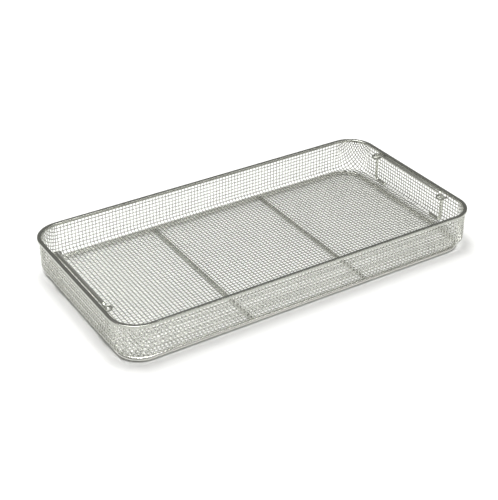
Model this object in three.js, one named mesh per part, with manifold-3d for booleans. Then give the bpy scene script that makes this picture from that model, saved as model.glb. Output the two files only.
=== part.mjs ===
// Instrument tray: a deep-drawn basket of woven wire cloth in a folded rim, on a base ring of
// round wire with two cross bars. A U-shaped wire handle slides up through two loops at each
// short end. Millimetres, +Z up. The origin is on the surface that the tray stands on, under
// its centre, and the long side lies along X.

import * as THREE from 'three';
import * as BufferGeometryUtils from 'three/addons/utils/BufferGeometryUtils.js';
import Module from 'manifold-3d';

const wasm = await Module();
wasm.setup();

// Overall, over the rim
const LENGTH = 480;
const WIDTH = 248;
const HEIGHT = 49.2;
const CORNER_RADIUS = 34.4;

// Rim: a strip folded over the cloth's cut edge
const RIM_HEIGHT = 5;
const RIM_SHEET = 1;
const RIM_EDGE_RADIUS = 0.7;

// Wire cloth: thickness over the crossings, and the inner radius where floor turns into wall
const CLOTH_THICKNESS = 2.2;
const CLOTH_BEND = 4.5;

// Base: the ring's wire lies this far inside the middle of the walls, but the whole ring is
// welded on a little towards the left end
const BASE_WIRE = 5;
const BASE_INSET_ENDS = 8.85;
const BASE_INSET_SIDES = 3.8;
const BASE_RING_SHIFT = -2.75;
const BASE_CORNER_RADIUS = 27;
const CROSS_BAR_SPACING = 156;

// Handles: each leg's middle stands this far inside the rim's corner bend, and how far each
// foot turns in from there
const HANDLE_WIRE = 4;
const HANDLE_CORNER_MARGIN = 24.2;
const HANDLE_BEND = 5;
const HANDLE_FOOT = 19.4;

// Eyelets: the middle of the loop lies this far below the top of the rim
const EYELET_WIRE = 2.6;
const EYELET_DROP = 5.8;
const EYELET_LEG_SPACE = 3.55;

// Clearances
const TOUCH_GAP = 0.3; // between pieces that are welded, folded or resting on each other
const EYELET_SIDE_GAP = 1.55; // between a leg and its eyelet
const HANDLE_RIM_GAP = 2; // between a leg and the rim behind it
const HANDLE_REST_GAP = 0.4; // between the lowered grip and the eyelets
const HANDLE_CLOTH_GAP = 1.1; // between the lowered feet and the bend or floor under them

// Fineness of the round stretches
const CORNER_STEPS = 8;
const WIRE_BEND_STEPS = 6;
const SECTION_STEPS = 3;
const CLOTH_BEND_STEPS = 4;

// Where the pieces meet
const RIM_WIDTH = CLOTH_THICKNESS + 2 * (TOUCH_GAP + RIM_SHEET);
const WALL_LENGTH = LENGTH - RIM_WIDTH; // between the middles of opposite walls
const WALL_WIDTH = WIDTH - RIM_WIDTH;
const WALL_RADIUS = CORNER_RADIUS - RIM_WIDTH / 2;
const RIM_BOTTOM = HEIGHT - RIM_HEIGHT;
const CLOTH_TOP = HEIGHT - RIM_SHEET - TOUCH_GAP;
const CLOTH_UNDERSIDE = BASE_WIRE + TOUCH_GAP;
const FLOOR_TOP = CLOTH_UNDERSIDE + CLOTH_THICKNESS;
const RING_LENGTH = WALL_LENGTH - 2 * BASE_INSET_ENDS;
const RING_WIDTH = WALL_WIDTH - 2 * BASE_INSET_SIDES;
const RIM_INNER_X = LENGTH / 2 - RIM_WIDTH;
const HANDLE_X = RIM_INNER_X - HANDLE_RIM_GAP - HANDLE_WIRE / 2;
const HANDLE_SPAN = WIDTH - 2 * (CORNER_RADIUS + HANDLE_CORNER_MARGIN);
const EYELET_RADIUS = HANDLE_WIRE / 2 + EYELET_SIDE_GAP + EYELET_WIRE / 2;
const EYELET_Z = HEIGHT - EYELET_DROP;
const EYELET_REACH = RIM_INNER_X - HANDLE_X + HANDLE_WIRE / 2 + EYELET_LEG_SPACE + EYELET_WIRE / 2;
const GRIP_Z = EYELET_Z + EYELET_WIRE / 2 + HANDLE_REST_GAP + HANDLE_WIRE / 2;
const BEND_X = (WALL_LENGTH - CLOTH_THICKNESS) / 2 - CLOTH_BEND; // middle of the cloth's bend
const BEND_ROOM = CLOTH_BEND - HANDLE_CLOTH_GAP - HANDLE_WIRE / 2;
const FOOT_Z =
  FLOOR_TOP + CLOTH_BEND - Math.sqrt(BEND_ROOM ** 2 - Math.max(HANDLE_X - BEND_X, 0) ** 2);

const steel = (color, roughness) =>
  new THREE.MeshStandardMaterial({ color, roughness, metalness: 1 });
const clothSteel = steel(0xd6d7d1, 0.42);
const rimSteel = steel(0xc4c5be, 0.28);
const wireSteel = steel(0xcacbc4, 0.25);

// Points on an arc, with both ends.
function arcPoints(x, y, radius, from, to, steps) {
  return Array.from({ length: steps + 1 }, (_, i) => {
    const angle = from + ((to - from) * i) / steps;
    return new THREE.Vector2(x + radius * Math.cos(angle), y + radius * Math.sin(angle));
  });
}

// Points of a rectangle with round corners, anticlockwise, centred on the origin.
function rectanglePoints(length, width, radius) {
  const quarters = [[1, 1], [-1, 1], [-1, -1], [1, -1]];
  return quarters.flatMap(([sx, sy], i) => {
    const from = (i * Math.PI) / 2;
    const x = sx * (length / 2 - radius);
    const y = sy * (width / 2 - radius);
    return arcPoints(x, y, radius, from, from + Math.PI / 2, CORNER_STEPS);
  });
}

// A flat band of the given width along the outline of a rectangle with round corners.
function rectangleBand(length, width, radius, band) {
  const outline = rectanglePoints(length + band, width + band, radius + band / 2);
  const hole = rectanglePoints(length - band, width - band, radius - band / 2);
  const shape = new THREE.Shape(outline);
  shape.holes.push(new THREE.Path(hole));
  return shape;
}

// One side of a band along a bent line: arcs round the corners, half a band to the left of it.
function bandSide(points, radius, half) {
  const side = [];
  const across = (from, to) => {
    const along = to.clone().sub(from).normalize();
    return new THREE.Vector2(-along.y, along.x);
  };
  const last = points.length - 1;
  side.push(points[0].clone().addScaledVector(across(points[0], points[1]), half));
  for (let i = 1; i < last; i += 1) {
    const before = across(points[i - 1], points[i]);
    const after = across(points[i], points[i + 1]);
    const turn = Math.atan2(before.cross(after), before.dot(after));
    const toCentre = (Math.sign(turn) * radius) / Math.cos(turn / 2);
    const middle = before.clone().add(after).normalize();
    const centre = points[i].clone().addScaledVector(middle, toCentre);
    const start = before.multiplyScalar(-Math.sign(turn)).angle();
    const arcRadius = radius - Math.sign(turn) * half;
    side.push(...arcPoints(centre.x, centre.y, arcRadius, start, start + turn, WIRE_BEND_STEPS));
  }
  side.push(points[last].clone().addScaledVector(across(points[last - 1], points[last]), half));
  return side;
}

// A round section of the given diameter, grown by a bevel round a narrow flat band.
function roundSection(shape, band, diameter) {
  const bevel = (diameter - band) / 2;
  const section = new THREE.ExtrudeGeometry(shape, {
    depth: band,
    bevelThickness: bevel,
    bevelSize: bevel,
    bevelSegments: SECTION_STEPS,
  });
  return section.translate(0, 0, -band / 2);
}

const bandOf = (diameter) => diameter / 5;

// Round wire along a flat line with bent corners. Its ends reach the first and last points.
function bentWire(corners, bend, diameter) {
  const band = bandOf(diameter);
  const points = corners.map(([x, y]) => new THREE.Vector2(x, y));
  const pullBack = (end, next) =>
    end.add(next.clone().sub(end).setLength((diameter - band) / 2));
  pullBack(points[0], points[1]);
  pullBack(points[points.length - 1], points[points.length - 2]);
  const left = bandSide(points, bend, band / 2);
  const right = bandSide(points, bend, -band / 2);
  const outline = [...right, ...left.reverse()];
  const apart = outline.filter((p, i) => p.distanceTo(outline.at(i - 1)) > band / 100);
  return roundSection(new THREE.Shape(apart), band, diameter);
}

// A block with round corners whose edges are rounded above and below.
function roundedBlock(length, width, radius, bottom, top, edge, edgeSteps) {
  const shape = new THREE.Shape(rectanglePoints(length, width, radius));
  const block = new THREE.ExtrudeGeometry(shape, {
    depth: top - bottom - 2 * edge,
    bevelThickness: edge,
    bevelSize: edge,
    bevelOffset: -edge,
    bevelSegments: edgeSteps,
  });
  return block.translate(0, 0, bottom + edge);
}

// A geometry as a solid for cutting, and back again.
function solidOf(geometry) {
  const bare = geometry.clone();
  bare.deleteAttribute('normal');
  bare.deleteAttribute('uv');
  const merged = BufferGeometryUtils.mergeVertices(bare, 1e-4);
  const vertProperties = merged.attributes.position.array;
  const triVerts = new Uint32Array(merged.index.array);
  return new wasm.Manifold(new wasm.Mesh({ numProp: 3, vertProperties, triVerts }));
}

function geometryOf(solid) {
  const { vertProperties, triVerts, numProp } = solid.getMesh();
  const geometry = new THREE.BufferGeometry();
  geometry.setAttribute('position', new THREE.BufferAttribute(vertProperties, numProp));
  geometry.setIndex(new THREE.BufferAttribute(triVerts, 1));
  const faceted = geometry.toNonIndexed();
  faceted.computeVertexNormals();
  return faceted;
}

// The cloth as one plain skin, open at the top.
function basketGeometry() {
  const above = HEIGHT + 2 * CLOTH_BEND; // its rounded upper edges are cut away
  const half = CLOTH_THICKNESS;
  const outside = roundedBlock(
    WALL_LENGTH + half, WALL_WIDTH + half, WALL_RADIUS + half / 2,
    CLOTH_UNDERSIDE, above + CLOTH_THICKNESS, CLOTH_BEND + CLOTH_THICKNESS, CLOTH_BEND_STEPS,
  );
  const inside = roundedBlock(
    WALL_LENGTH - half, WALL_WIDTH - half, WALL_RADIUS - half / 2,
    FLOOR_TOP, above + 2 * CLOTH_THICKNESS, CLOTH_BEND, CLOTH_BEND_STEPS,
  );
  const lid = new THREE.BoxGeometry(2 * LENGTH, 2 * WIDTH, 4 * HEIGHT);
  lid.translate(0, 0, CLOTH_TOP + 2 * HEIGHT);
  return geometryOf(solidOf(outside).subtract(solidOf(inside)).subtract(solidOf(lid)));
}

// The folded strip: a band with rounded top edges and a slot from below for the cloth.
function rimGeometry() {
  const flat = RIM_WIDTH - 2 * RIM_EDGE_RADIUS;
  const below = RIM_HEIGHT / 2; // the rounded lower edges are cut away
  const band = new THREE.ExtrudeGeometry(
    rectangleBand(WALL_LENGTH, WALL_WIDTH, WALL_RADIUS, flat),
    {
      depth: RIM_HEIGHT + below - RIM_EDGE_RADIUS,
      bevelThickness: RIM_EDGE_RADIUS,
      bevelSize: RIM_EDGE_RADIUS,
      bevelSegments: SECTION_STEPS,
    },
  ).translate(0, 0, RIM_BOTTOM - below);
  const floor = new THREE.BoxGeometry(2 * LENGTH, 2 * WIDTH, 2 * HEIGHT);
  floor.translate(0, 0, RIM_BOTTOM - HEIGHT);
  const slot = new THREE.ExtrudeGeometry(
    rectangleBand(WALL_LENGTH, WALL_WIDTH, WALL_RADIUS, RIM_WIDTH - 2 * RIM_SHEET),
    { depth: RIM_HEIGHT, bevelEnabled: false },
  ).translate(0, 0, HEIGHT - RIM_SHEET - RIM_HEIGHT);
  return geometryOf(solidOf(band).subtract(solidOf(floor)).subtract(solidOf(slot)));
}

function baseRingGeometry() {
  const band = bandOf(BASE_WIRE);
  const shape = rectangleBand(RING_LENGTH, RING_WIDTH, BASE_CORNER_RADIUS, band);
  return roundSection(shape, band, BASE_WIRE);
}

// A straight bar along Y that stops at the ring's wires.
function crossBarGeometry() {
  const reach = RING_WIDTH / 2 - BASE_WIRE / 2 - TOUCH_GAP;
  return bentWire([[0, -reach], [0, reach]], BASE_WIRE, BASE_WIRE);
}

// Drawn with the span along x and the legs down y, from the grip's height.
function handleGeometry() {
  const leg = HANDLE_SPAN / 2;
  const foot = leg - HANDLE_FOOT;
  const drop = FOOT_Z - GRIP_Z;
  const corners = [[-foot, drop], [-leg, drop], [-leg, 0], [leg, 0], [leg, drop], [foot, drop]];
  return bentWire(corners, HANDLE_BEND, HANDLE_WIRE);
}

// Drawn flat: both ends meet the rim at x = 0 and the loop lies towards -x.
function eyeletGeometry() {
  const tip = -EYELET_REACH;
  const r = EYELET_RADIUS;
  return bentWire([[-TOUCH_GAP, -r], [tip, -r], [tip, r], [-TOUCH_GAP, r]], r, EYELET_WIRE);
}

function named(name, geometry, material) {
  const mesh = new THREE.Mesh(geometry, material);
  mesh.name = name;
  return mesh;
}

// One short end: a handle and its two eyelets, drawn for +X.
function endFittings(side) {
  const end = new THREE.Group();
  const handle = named(`handle_${side}`, handleGeometry(), wireSteel);
  handle.rotation.set(Math.PI / 2, 0, Math.PI / 2, 'ZYX'); // span along Y, legs down Z
  handle.position.set(HANDLE_X, 0, GRIP_Z);
  end.add(handle);
  const atRear = side === 'right' ? 1 : -1; // the left end is turned half round
  for (const [place, sign] of [['front', -atRear], ['rear', atRear]]) {
    const eyelet = named(`eyelet_${side}_${place}`, eyeletGeometry(), wireSteel);
    eyelet.position.set(RIM_INNER_X, (sign * HANDLE_SPAN) / 2, EYELET_Z);
    end.add(eyelet);
  }
  return end;
}

function baseFrame() {
  const frame = new THREE.Group();
  frame.position.z = BASE_WIRE / 2;
  const ring = named('base_ring', baseRingGeometry(), wireSteel);
  ring.position.x = BASE_RING_SHIFT;
  frame.add(ring);
  for (const [side, sign] of [['left', -1], ['right', 1]]) {
    const bar = named(`cross_bar_${side}`, crossBarGeometry(), wireSteel);
    bar.position.x = (sign * CROSS_BAR_SPACING) / 2;
    frame.add(bar);
  }
  return frame;
}

const tray = new THREE.Group();
tray.add(named('mesh_basket', basketGeometry(), clothSteel));
tray.add(named('rim_channel', rimGeometry(), rimSteel));
tray.add(baseFrame());
const leftEnd = endFittings('left');
leftEnd.rotation.z = Math.PI;
tray.add(leftEnd, endFittings('right'));

export default tray;
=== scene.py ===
"""Instrument tray of woven stainless wire cloth: a drawn basket in a folded rim, on a base
ring of round wire with two cross bars, and a lift-up wire handle in two eyelets at each end."""

import math

import bpy
import numpy as np
from mathutils import Matrix, Vector


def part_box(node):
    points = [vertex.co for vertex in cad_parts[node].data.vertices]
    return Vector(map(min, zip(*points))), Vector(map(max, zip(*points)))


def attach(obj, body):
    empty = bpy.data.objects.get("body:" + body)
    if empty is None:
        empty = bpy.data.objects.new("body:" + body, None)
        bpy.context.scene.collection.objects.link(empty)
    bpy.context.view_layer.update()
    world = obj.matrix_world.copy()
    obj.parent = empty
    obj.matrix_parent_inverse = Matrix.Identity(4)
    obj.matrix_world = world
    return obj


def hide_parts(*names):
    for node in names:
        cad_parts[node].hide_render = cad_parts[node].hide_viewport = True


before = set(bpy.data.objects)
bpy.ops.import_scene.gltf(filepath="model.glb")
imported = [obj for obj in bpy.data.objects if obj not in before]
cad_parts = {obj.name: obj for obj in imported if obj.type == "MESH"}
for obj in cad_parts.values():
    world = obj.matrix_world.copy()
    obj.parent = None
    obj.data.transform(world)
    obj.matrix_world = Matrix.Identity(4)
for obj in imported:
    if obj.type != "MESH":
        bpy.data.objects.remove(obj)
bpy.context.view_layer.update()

MM = 0.001

# Woven cloth: square mesh of round wire, rolled flat and then drawn into a basket
CLOTH_THICK = 2.2 * MM  # the sheet in the frame, which the cloth runs down the middle of
PITCH = 4.6 * MM
CLOTH_WIRE = 1.1 * MM
CRIMP = 0.16 * CLOTH_WIRE  # swing off the middle of the sheet, small in rolled cloth
STEPS_PER_PITCH = 3
FLOOR_BEND = 5.6 * MM  # middle of the sheet, where the floor turns into the wall
WALL_CORNER = 32.0 * MM  # middle of the sheet, in plan
CORNER_DRAW = 0.08  # how much longer the drawn corners are than their flat cloth

# Rim strip
STRIP = 1.0 * MM
SKIRT_DEPTH = 3.0 * MM  # from the rim's top to the lower edge of the strip
FOLD_EDGE = 0.4 * MM  # radius of the strip's middle along its two folds
STRIP_EDGE = 0.2 * MM  # the cut edges, broken

# Wire frame and fittings
RING_CORNER = 27.0 * MM
HANDLE_BEND = 5.0 * MM
HANDLE_FOOT = 19.4 * MM  # from a leg's middle line to the tip of its foot
CUT_END = 0.35  # how far a cut end is rounded, as a share of the wire's radius
BAR_WELD = (3.2 * MM, 1.5 * MM, 2.1 * MM)  # half sizes of the bead at a cross bar's end
EYELET_WELD = (0.9 * MM, 1.6 * MM, 1.5 * MM)  # and of the bead at an eyelet's end
WELD_RIPPLE = 1.4 * MM
WELD_UNEVEN = 0.35 * MM

# How finely round things are drawn, and where shading breaks
WIRE_SIDES = 20
EYELET_SIDES = 16
CORNER_STEPS = 16
BEND_STEPS = 8
FOLD_STEPS = 5
EDGE_STEPS = 2
END_STEPS = 3
WELD_SIDES = 20
WELD_RINGS = 12
MERGE_WITHIN = 0.002 * MM
CUT_EDGE = math.radians(60)  # an edge sharper than this is a cut one, and is broken
SMOOTH_WIRE = math.radians(40)
SMOOTH_CLOTH = math.radians(70)  # the wires of the cloth are six-sided
SMOOTH_STRIP = math.radians(20)  # low enough to keep the flat of the strip flat
SMOOTH_WELD = math.radians(60)


def middle_and_half(node):
    """Centre of a node's box, and half its size."""
    low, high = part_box(node)
    return (low + high) / 2, (high - low) / 2


# ---------------------------------------------------------------- camera, light and floor

CAMERA_AIM = Vector((-17.3, -11.0, 18.6)) * MM
CAMERA_DISTANCE = 1379.55 * MM
CAMERA_AZIMUTH = math.radians(-31.83)
CAMERA_ELEVATION = math.radians(31.49)
CAMERA_ROLL = math.radians(-0.24)
CAMERA_LENS = 83.33  # millimetres, on a sensor 36 mm wide
CAMERA_SENSOR = 36.0
FLOOR_SIDE = 24.0  # metres


def set_camera():
    """Looks down at the tray's front left corner, with a long lens."""
    data = bpy.data.cameras.new("camera")
    data.lens = CAMERA_LENS
    data.sensor_width = CAMERA_SENSOR
    camera = bpy.data.objects.new("camera", data)
    bpy.context.scene.collection.objects.link(camera)
    turn = Matrix.Rotation(CAMERA_AZIMUTH, 4, "Z")
    tilt = Matrix.Rotation(math.pi / 2 - CAMERA_ELEVATION, 4, "X")
    roll = Matrix.Rotation(CAMERA_ROLL, 4, "Z")
    facing = turn @ tilt @ roll
    back = facing.to_3x3() @ Vector((0, 0, 1))
    camera.matrix_world = Matrix.Translation(CAMERA_AIM + back * CAMERA_DISTANCE) @ facing
    bpy.context.scene.camera = camera


def linear(hex_colour):
    """An sRGB hex colour as linear red, green, blue and alpha."""
    parts = [int(hex_colour[i : i + 2], 16) / 255 for i in (1, 3, 5)]
    return [*(c / 12.92 if c <= 0.04045 else ((c + 0.055) / 1.055) ** 2.4 for c in parts), 1.0]


def add_node(tree, kind, inputs=None, **settings):
    """Adds a shader node. inputs maps a socket to a value or to the output that feeds it."""
    made = tree.nodes.new(kind)
    for name, value in settings.items():
        setattr(made, name, value)
    for socket, value in (inputs or {}).items():
        if isinstance(value, bpy.types.NodeSocket):
            tree.links.new(value, made.inputs[socket])
        else:
            made.inputs[socket].default_value = value
    return made


def add_softbox(name, place, size, watts):
    """A flat lamp at a place in metres, turned to face the tray."""
    data = bpy.data.lights.new(name, "AREA")
    data.shape = "RECTANGLE"
    data.size, data.size_y = size
    data.energy = watts
    lamp = bpy.data.objects.new(name, data)
    bpy.context.scene.collection.objects.link(lamp)
    lamp.location = place
    lamp.rotation_euler = (-Vector(place)).to_track_quat("-Z", "Y").to_euler()


def light_studio():
    """A softbox overhead and a little behind casts the shadow in front of the tray. A small
    panel high on the right draws the bright line along the base ring, and a low wide one in
    front fills. The room is grey, and metal that faces away from the lamps mirrors it and looks
    dark. In front of the tray and near the floor the room is lighter."""
    add_softbox("softbox_top", (-0.1, 0.75, 3.6), (2.2, 2.3), 158.0)
    add_softbox("panel_right", (2.0, -1.5, 3.6), (1.4, 1.1), 17.0)
    add_softbox("panel_front", (0.5, -3.2, 1.0), (5.5, 1.9), 7.0)
    world = bpy.data.worlds.new("studio")
    bpy.context.scene.world = world
    world.use_nodes = True
    tree = world.node_tree
    tree.nodes.clear()
    direction = add_node(tree, "ShaderNodeTexCoord").outputs["Generated"]
    along = add_node(tree, "ShaderNodeSeparateXYZ", {"Vector": direction})
    room = add_node(tree, "ShaderNodeMix", {"Factor": 1.0}, data_type="RGBA", blend_type="LIGHTEN")
    for layer, axis, stops in (
        ("A", "Y", ((0.1, "#949492"), (0.5, "#80807e"))),  # from the front to the rear
        ("B", "Z", ((0.02, "#a8a8a6"), (0.2, "#000000"))),  # from the floor up
    ):
        ramp = add_node(tree, "ShaderNodeValToRGB", {"Fac": along.outputs[axis]})
        for stop, (position, colour) in zip(ramp.color_ramp.elements, stops):
            stop.position, stop.color = position, linear(colour)
        tree.links.new(ramp.outputs["Color"], room.inputs[layer])
    shade = add_node(tree, "ShaderNodeBackground", {"Color": room.outputs["Result"]})
    out = add_node(tree, "ShaderNodeOutputWorld", {"Surface": shade.outputs["Background"]})
    out.is_active_output = True


# ---------------------------------------------------------------- materials


def new_material(name):
    """A material with an empty node tree, and that tree."""
    material = bpy.data.materials.new(name)
    material.use_nodes = True
    material.node_tree.nodes.clear()
    return material, material.node_tree


def close_material(tree, shader):
    """Sends the shader to the surface."""
    add_node(tree, "ShaderNodeOutputMaterial", {"Surface": shader.outputs["BSDF"]})


NOISE_LOW, NOISE_HIGH = 0.3, 0.7  # nearly all of a noise field lies between these
GRAIN_DEPTH = 0.02 * MM
COATING_CLOUD = 166.7 * MM


def steel(name, light, dark, smooth, rough, drift_mm, grain_mm):
    """Stainless steel: its tone drifts over drift_mm, as handling and heat leave it, and a grain
    of grain_mm breaks up its gloss. Real grain is under 0.1 mm, too fine to show, so it is drawn
    coarser here."""
    material, tree = new_material(name)
    place = add_node(tree, "ShaderNodeTexCoord").outputs["Object"]
    drift_inputs = {"Vector": place, "Scale": 1 / (drift_mm * MM), "Detail": 3.0}
    drift = add_node(tree, "ShaderNodeTexNoise", drift_inputs).outputs["Fac"]
    grain_inputs = {"Vector": place, "Scale": 1 / (grain_mm * MM), "Detail": 4.0}
    grain = add_node(tree, "ShaderNodeTexNoise", grain_inputs).outputs["Fac"]
    tone = add_node(tree, "ShaderNodeMix", {"Factor": drift}, data_type="RGBA")
    tone.inputs["A"].default_value = linear(light)
    tone.inputs["B"].default_value = linear(dark)
    gloss_inputs = {
        "Value": grain,
        "From Min": NOISE_LOW,
        "From Max": NOISE_HIGH,
        "To Min": smooth,
        "To Max": rough,
    }
    gloss = add_node(tree, "ShaderNodeMapRange", gloss_inputs)
    bump_inputs = {"Height": grain, "Strength": 0.25, "Distance": GRAIN_DEPTH}
    bump = add_node(tree, "ShaderNodeBump", bump_inputs)
    shader_inputs = {
        "Base Color": tone.outputs["Result"],
        "Metallic": 1.0,
        "Roughness": gloss.outputs["Result"],
        "Normal": bump.outputs["Normal"],
    }
    close_material(tree, add_node(tree, "ShaderNodeBsdfPrincipled", shader_inputs))
    return material


def floor_board():
    """Matt white board, with the faintest unevenness of its coating."""
    material, tree = new_material("matt_white_board")
    place = add_node(tree, "ShaderNodeTexCoord").outputs["Object"]
    cloud_inputs = {"Vector": place, "Scale": 1 / COATING_CLOUD, "Detail": 3.0}
    cloud = add_node(tree, "ShaderNodeTexNoise", cloud_inputs).outputs["Fac"]
    tone = add_node(tree, "ShaderNodeMix", {"Factor": cloud}, data_type="RGBA")
    tone.inputs["A"].default_value = linear("#f3f3f2")
    tone.inputs["B"].default_value = linear("#f6f6f5")
    shader_inputs = {
        "Base Color": tone.outputs["Result"],
        "Roughness": 0.9,
        "Specular IOR Level": 0.2,
    }
    close_material(tree, add_node(tree, "ShaderNodeBsdfPrincipled", shader_inputs))
    return material


# ---------------------------------------------------------------- modelling by hand


def pick(piece, test):
    """In edit mode, selects the vertices whose place passes the test, and nothing else."""
    bpy.ops.mesh.select_mode(type="VERT")
    bpy.ops.mesh.select_all(action="DESELECT")
    bpy.ops.object.mode_set(mode="OBJECT")
    for vertex in piece.data.vertices:
        vertex.select = test(vertex.co)
    bpy.ops.object.mode_set(mode="EDIT")


# How a circle is turned when its wire is to run along X, or along Y
ALONG_X = (0, math.pi / 2, 0)
ALONG_Y = (math.pi / 2, 0, 0)


def start_section(name, centre, radius, turned, filled, sides=WIRE_SIDES):
    """A circle to be drawn out into a wire, in edit mode with all of it selected."""
    bpy.ops.object.select_all(action="DESELECT")
    fill = "NGON" if filled else "NOTHING"
    bpy.ops.mesh.primitive_circle_add(
        vertices=sides, radius=radius, fill_type=fill, location=centre, rotation=turned
    )
    piece = bpy.context.object
    piece.name = name
    bpy.ops.object.transform_apply(location=True, rotation=True, scale=True)
    bpy.ops.object.mode_set(mode="EDIT")
    bpy.ops.mesh.select_all(action="SELECT")
    return piece


def run(x=0.0, y=0.0, z=0.0):
    """Draws the selected section straight on."""
    bpy.ops.mesh.extrude_region_move(TRANSFORM_OT_translate={"value": (x, y, z)})


def turn(centre, axis, degrees, steps):
    """Draws the selected section round a bend, by the right-hand rule about the axis."""
    bpy.ops.mesh.spin(
        steps=steps, angle=-math.radians(degrees), center=centre, axis=axis, dupli=False
    )


def run_round(half_x, half_y, radius, z):
    """Draws the section, which starts at the middle of the front, once round the tray."""
    flat_x, flat_y = half_x - radius, half_y - radius
    run(x=flat_x)
    for sign_x, sign_y, onward in (
        (1, -1, (0, 2 * flat_y)),
        (1, 1, (-2 * flat_x, 0)),
        (-1, 1, (0, -2 * flat_y)),
        (-1, -1, (flat_x, 0)),
    ):
        turn((sign_x * flat_x, sign_y * flat_y, z), (0, 0, 1), 90, CORNER_STEPS)
        run(*onward)


def close_piece(piece, smooth_under=SMOOTH_WIRE):
    """Merges the seams, turns the faces outwards and leaves edit mode."""
    bpy.ops.mesh.select_all(action="SELECT")
    bpy.ops.mesh.remove_doubles(threshold=MERGE_WITHIN)
    bpy.ops.mesh.normals_make_consistent(inside=False)
    bpy.ops.object.mode_set(mode="OBJECT")
    bpy.ops.object.shade_smooth_by_angle(angle=smooth_under)


def apply_modifier(piece, kind, **settings):
    """Finishes the active piece with one modifier."""
    modifier = piece.modifiers.new(kind.lower(), kind)
    for name, value in settings.items():
        setattr(modifier, name, value)
    bpy.ops.object.modifier_apply(modifier=modifier.name)


def break_edges(piece, width, steps):
    """Rounds every cut edge."""
    limit = {"limit_method": "ANGLE", "angle_limit": CUT_EDGE}
    apply_modifier(piece, "BEVEL", width=width, segments=steps, **limit)


def round_ends(piece, radius):
    """Breaks the cut ends of a wire, as tumbling does."""
    break_edges(piece, CUT_END * radius, END_STEPS)
    bpy.ops.object.shade_smooth_by_angle(angle=SMOOTH_WIRE)


def dress(piece, body, material, slot, *nodes):
    """Gives a finished piece its steel, its body and the nodes it stands for. The slot is not
    used.
    """
    piece.data.materials.clear()
    piece.data.materials.append(material)
    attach(piece, body)
    if nodes:
        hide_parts(*nodes)


# ---------------------------------------------------------------- weld beads


def add_weld(name, centre, size, material, slot):
    """A small uneven bead of weld metal, laid over the joint between two pieces."""
    bpy.ops.object.select_all(action="DESELECT")
    bpy.ops.mesh.primitive_uv_sphere_add(
        segments=WELD_SIDES, ring_count=WELD_RINGS, radius=1.0, location=centre, scale=size
    )
    piece = bpy.context.object
    piece.name = name
    bpy.ops.object.transform_apply(location=True, rotation=True, scale=True)
    ripple = bpy.data.textures.new(name, "CLOUDS")
    ripple.noise_scale = WELD_RIPPLE
    apply_modifier(piece, "DISPLACE", texture=ripple, strength=WELD_UNEVEN, texture_coords="LOCAL")
    bpy.ops.object.shade_smooth_by_angle(angle=SMOOTH_WELD)
    dress(piece, "tray", material, slot)


# ---------------------------------------------------------------- woven cloth

cloth_low, cloth_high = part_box("mesh_basket")
CLOTH_MIDDLE = cloth_low.z + CLOTH_THICK / 2
CLOTH_TOP = cloth_high.z
CORNER_X = cloth_high.x - CLOTH_THICK / 2 - WALL_CORNER  # where the round corners begin
CORNER_Y = cloth_high.y - CLOTH_THICK / 2 - WALL_CORNER
CORNER_FLAT = WALL_CORNER - FLOOR_BEND


def drawn(x, y, lift):
    """Where points of the flat blank lie on the drawn basket, lifted off the sheet's middle."""
    past_x = np.maximum(np.abs(x) - CORNER_X, 0.0)
    past_y = np.maximum(np.abs(y) - CORNER_Y, 0.0)
    angle = np.arctan2(past_y, past_x)
    flat = np.hypot(past_x, past_y)
    bent = np.maximum(flat - CORNER_FLAT, 0.0)
    longer = CORNER_DRAW * np.sin(2 * angle) ** 2 * bent**2 / (bent + FLOOR_BEND)
    length = flat + longer
    tilt = np.clip((length - CORNER_FLAT) / FLOOR_BEND, 0.0, math.pi / 2)
    up_wall = np.maximum(length - CORNER_FLAT - FLOOR_BEND * math.pi / 2, 0.0)
    out = np.minimum(length, CORNER_FLAT) + (FLOOR_BEND - lift) * np.sin(tilt)
    z = CLOTH_MIDDLE + FLOOR_BEND - (FLOOR_BEND - lift) * np.cos(tilt) + up_wall
    px = np.sign(x) * (np.minimum(np.abs(x), CORNER_X) + out * np.cos(angle))
    py = np.sign(y) * (np.minimum(np.abs(y), CORNER_Y) + out * np.sin(angle))
    return np.stack([px, py, z], axis=1)


def wire_places(reach):
    """Places of the wires across the blank, half a pitch either side of its middle."""
    count = int(reach / PITCH)
    return [(k + 0.5) * PITCH for k in range(-count, count)]


def weave(name, places, swings, along_x, reach):
    """Parallel wires of the cloth, drawn with it into the basket. Each swings over and under
    the wires that it crosses, the other way round from its neighbour."""
    curve = bpy.data.curves.new(name, "CURVE")
    curve.dimensions = "3D"
    curve.bevel_depth = CLOTH_WIRE / 2
    curve.bevel_resolution = 1
    curve.use_fill_caps = True
    steps = int(reach / PITCH) * STEPS_PER_PITCH
    along = (np.arange(-steps, steps + 1) / STEPS_PER_PITCH + 0.5) * PITCH
    for place, swing in zip(places, swings):
        across = np.full_like(along, place)
        lift = swing * CRIMP * np.sin(math.pi * along / PITCH)
        points = drawn(along, across, lift) if along_x else drawn(across, along, lift)
        points = points[points[:, 2] < CLOTH_TOP]
        if len(points) < 2 * STEPS_PER_PITCH:
            continue  # a scrap at a corner, too short to be held
        spline = curve.splines.new("POLY")
        spline.points.add(len(points) - 1)
        spline.points.foreach_set("co", np.column_stack([points, np.ones(len(points))]).ravel())
    piece = bpy.data.objects.new(name, curve)
    bpy.context.scene.collection.objects.link(piece)
    bpy.ops.object.select_all(action="DESELECT")
    piece.select_set(True)
    bpy.context.view_layer.objects.active = piece
    bpy.ops.object.convert(target="MESH")
    piece = bpy.context.object
    bpy.ops.object.mode_set(mode="EDIT")
    close_piece(piece, smooth_under=SMOOTH_CLOTH)
    return piece


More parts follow.
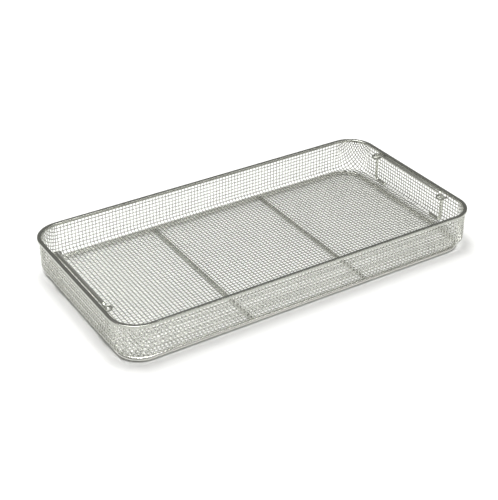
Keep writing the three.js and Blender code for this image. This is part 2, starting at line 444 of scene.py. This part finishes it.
def make_cloth(material):
    """The floor and walls, in four pieces: half of the wires that run each way in each."""
    wall = cloth_high.z - cloth_low.z + FLOOR_BEND
    reach_x, reach_y = cloth_high.x + wall, cloth_high.y + wall
    across, along = wire_places(reach_x), wire_places(reach_y)
    families = (
        ("cloth_across_left", [p for p in across if p < 0], 0, False, reach_y),
        ("cloth_across_right", [p for p in across if p > 0], len(across) // 2, False, reach_y),
        ("cloth_along_front", [p for p in along if p < 0], 1, True, reach_x),
        ("cloth_along_rear", [p for p in along if p > 0], 1 + len(along) // 2, True, reach_x),
    )
    for name, places, first, along_x, reach in families:
        swings = [1 if (first + k) % 2 else -1 for k in range(len(places))]
        piece = weave(name, places, swings, along_x, reach)
        dress(piece, "tray", material, "woven_cloth", "mesh_basket")


# ---------------------------------------------------------------- rim


def make_rim(material):
    """The strip folded down both sides of the cloth, flat on top. A square across its section
    loses its lower edge, its two upper corners are rounded, and it is run round the tray."""
    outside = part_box("rim_channel")[1]
    side = cloth_high.y - CLOTH_THICK / 2
    half_width = outside.y - side
    reach = half_width - STRIP / 2
    top = outside.z - STRIP / 2
    bpy.ops.object.select_all(action="DESELECT")
    bpy.ops.mesh.primitive_plane_add(
        size=2 * reach, location=(0, -side, top - reach), rotation=ALONG_X
    )
    piece = bpy.context.object
    piece.name = "rim"
    bpy.ops.object.transform_apply(location=True, rotation=True, scale=True)
    bpy.ops.object.mode_set(mode="EDIT")
    pick(piece, lambda co: co.z < top - reach)
    bpy.ops.transform.translate(value=(0, 0, outside.z - SKIRT_DEPTH - top + 2 * reach))
    bpy.ops.mesh.delete(type="EDGE")
    pick(piece, lambda co: co.z > top - reach)
    bpy.ops.mesh.bevel(offset=FOLD_EDGE, segments=FOLD_STEPS, affect="VERTICES")
    bpy.ops.mesh.select_all(action="SELECT")
    run_round(outside.x - half_width, side, WALL_CORNER, top)
    close_piece(piece)
    apply_modifier(piece, "SOLIDIFY", thickness=STRIP, offset=0.0, use_even_offset=True)
    break_edges(piece, STRIP_EDGE, EDGE_STEPS)
    bpy.ops.object.shade_smooth_by_angle(angle=SMOOTH_STRIP)
    apply_modifier(piece, "WEIGHTED_NORMAL", keep_sharp=True)
    dress(piece, "tray", material, "rim_strip", "rim_channel")


# ---------------------------------------------------------------- base frame


def make_base(ring_material, bar_material, weld_material):
    """The ring that the tray stands on, and two bars across it, welded at both ends."""
    middle, half = middle_and_half("base_ring")
    radius = half.z
    ring_x, ring_y = half.x - radius, half.y - radius
    piece = start_section("base_ring_wire", (0, -ring_y, middle.z), radius, ALONG_X, False)
    run_round(ring_x, ring_y, RING_CORNER, middle.z)
    bpy.ops.mesh.select_all(action="SELECT")
    bpy.ops.transform.translate(value=(middle.x, 0, 0))
    close_piece(piece)
    dress(piece, "tray", ring_material, "frame_wire", "base_ring")
    for side in ("left", "right"):
        make_cross_bar(side, ring_y - radius, bar_material)
        bar_x = middle_and_half(f"cross_bar_{side}")[0].x
        for end, sign in (("front", -1), ("rear", 1)):
            place = (bar_x, sign * (ring_y - radius), middle.z)
            add_weld(f"bar_weld_{side}_{end}", place, BAR_WELD, weld_material, "frame_wire")


def make_cross_bar(side, reach, material):
    """A straight bar between the two long sides of the ring."""
    node = f"cross_bar_{side}"
    middle, half = middle_and_half(node)
    radius = half.z
    start = (middle.x, -reach, middle.z)
    piece = start_section(f"{node}_wire", start, radius, ALONG_Y, True)
    run(y=2 * reach)
    close_piece(piece)
    dress(piece, "tray", material, "frame_wire", node)


# ---------------------------------------------------------------- handles and eyelets


def make_handle(side, material):
    """Grip, two legs and two feet bent towards each other, from one length of wire."""
    node = f"handle_{side}"
    middle, half = middle_and_half(node)
    radius = half.x
    low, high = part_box(node)
    grip, foot, leg = high.z - radius, low.z + radius, high.y - radius
    flat = leg - HANDLE_BEND
    tip = leg - HANDLE_FOOT
    x = middle.x
    piece = start_section(f"{node}_wire", (x, -tip, foot), radius, ALONG_Y, True)
    run(y=tip - flat)
    turn((x, -flat, foot + HANDLE_BEND), (1, 0, 0), -90, BEND_STEPS)
    run(z=grip - foot - 2 * HANDLE_BEND)
    turn((x, -flat, grip - HANDLE_BEND), (1, 0, 0), -90, BEND_STEPS)
    run(y=2 * flat)
    turn((x, flat, grip - HANDLE_BEND), (1, 0, 0), -90, BEND_STEPS)
    run(z=foot - grip + 2 * HANDLE_BEND)
    turn((x, flat, foot + HANDLE_BEND), (1, 0, 0), -90, BEND_STEPS)
    run(y=tip - flat)
    close_piece(piece)
    round_ends(piece, radius)
    dress(piece, f"{side}_handle", material, "handle_wire", node)


def make_eyelet(side, place, material, weld_material):
    """A wire loop about one leg of a handle, with both ends welded on at the rim's inner edge."""
    node = f"eyelet_{side}_{place}"
    middle, half = middle_and_half(node)
    radius = half.z
    loop = half.y - radius
    sign = 1 if side == "right" else -1
    rim_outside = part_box("rim_channel")[1].x
    rim_width = 2 * (rim_outside - cloth_high.x + CLOTH_THICK / 2)
    rim_x = sign * (rim_outside - rim_width)
    tip_x = middle.x - sign * (half.x - radius)
    bend_x = tip_x + sign * loop
    start = (rim_x, middle.y - loop, middle.z)
    piece = start_section(f"{node}_wire", start, radius, ALONG_X, True, sides=EYELET_SIDES)
    run(x=bend_x - rim_x)
    turn((bend_x, middle.y, middle.z), (0, 0, 1), -sign * 180, 2 * BEND_STEPS)
    run(x=rim_x - bend_x)
    close_piece(piece)
    dress(piece, "tray", material, "eyelet_wire", node)
    for end, step in (("front", -loop), ("rear", loop)):
        root = (rim_x, middle.y + step, middle.z)
        add_weld(f"{node}_weld_{end}", root, EYELET_WELD, weld_material, "eyelet_wire")


# ---------------------------------------------------------------- the tray

set_camera()
light_studio()

bpy.ops.object.select_all(action="DESELECT")
bpy.ops.mesh.primitive_plane_add(size=FLOOR_SIDE, location=(0, 0, 0))
floor = bpy.context.object
floor.name = "floor"
floor.data.materials.append(floor_board())

# Woven wire cloth, bright as drawn: thin pale wires with a highlight on each crossing
cloth_steel = steel("woven_stainless_wire", "#d8d9d2", "#c8c9c2", 0.16, 0.28, 30.0, 0.8)
# Cold-rolled strip, polished: a darker flat band that mirrors the dark of the room
strip_steel = steel("polished_stainless_strip", "#bdbeb7", "#b1b2ab", 0.16, 0.28, 40.0, 0.6)
# Drawn bar: grey, with a soft line of light along it
bar_steel = steel("drawn_stainless_bar", "#c9cac3", "#babbb4", 0.16, 0.28, 25.0, 0.7)
# Bar bent to a ring, the same steel as the cross bars but painted lighter: a painted highlight for
# the line of light along its front. It is also smoother, so the lamp's own line is crisper
ring_steel = steel("polished_stainless_ring", "#edede8", "#e0e0da", 0.12, 0.24, 25.0, 0.7)
# Drawn wire, painted lighter than the other wire: painted light for the bright legs and grip. The
# clear highlight along the grip comes from the lamps
handle_steel = steel("drawn_stainless_handle", "#e4e5de", "#d6d7d0", 0.14, 0.26, 25.0, 0.7)
# Pickled after welding: duller and greyer, so the loops don't glint
eyelet_steel = steel("pickled_stainless_eyelet", "#aeafa8", "#9d9e97", 0.30, 0.44, 6.0, 0.5)
# Weld metal, a little straw-coloured from the heat and matt
weld_steel = steel("weld_metal_stainless", "#aaa79d", "#94918a", 0.42, 0.58, 1.2, 0.3)

make_cloth(cloth_steel)
make_rim(strip_steel)
make_base(ring_steel, bar_steel, weld_steel)
for side in ("left", "right"):
    make_handle(side, handle_steel)
    for place in ("front", "rear"):
        make_eyelet(side, place, eyelet_steel, weld_steel)

bpy.context.scene.view_settings.view_transform = "Standard"
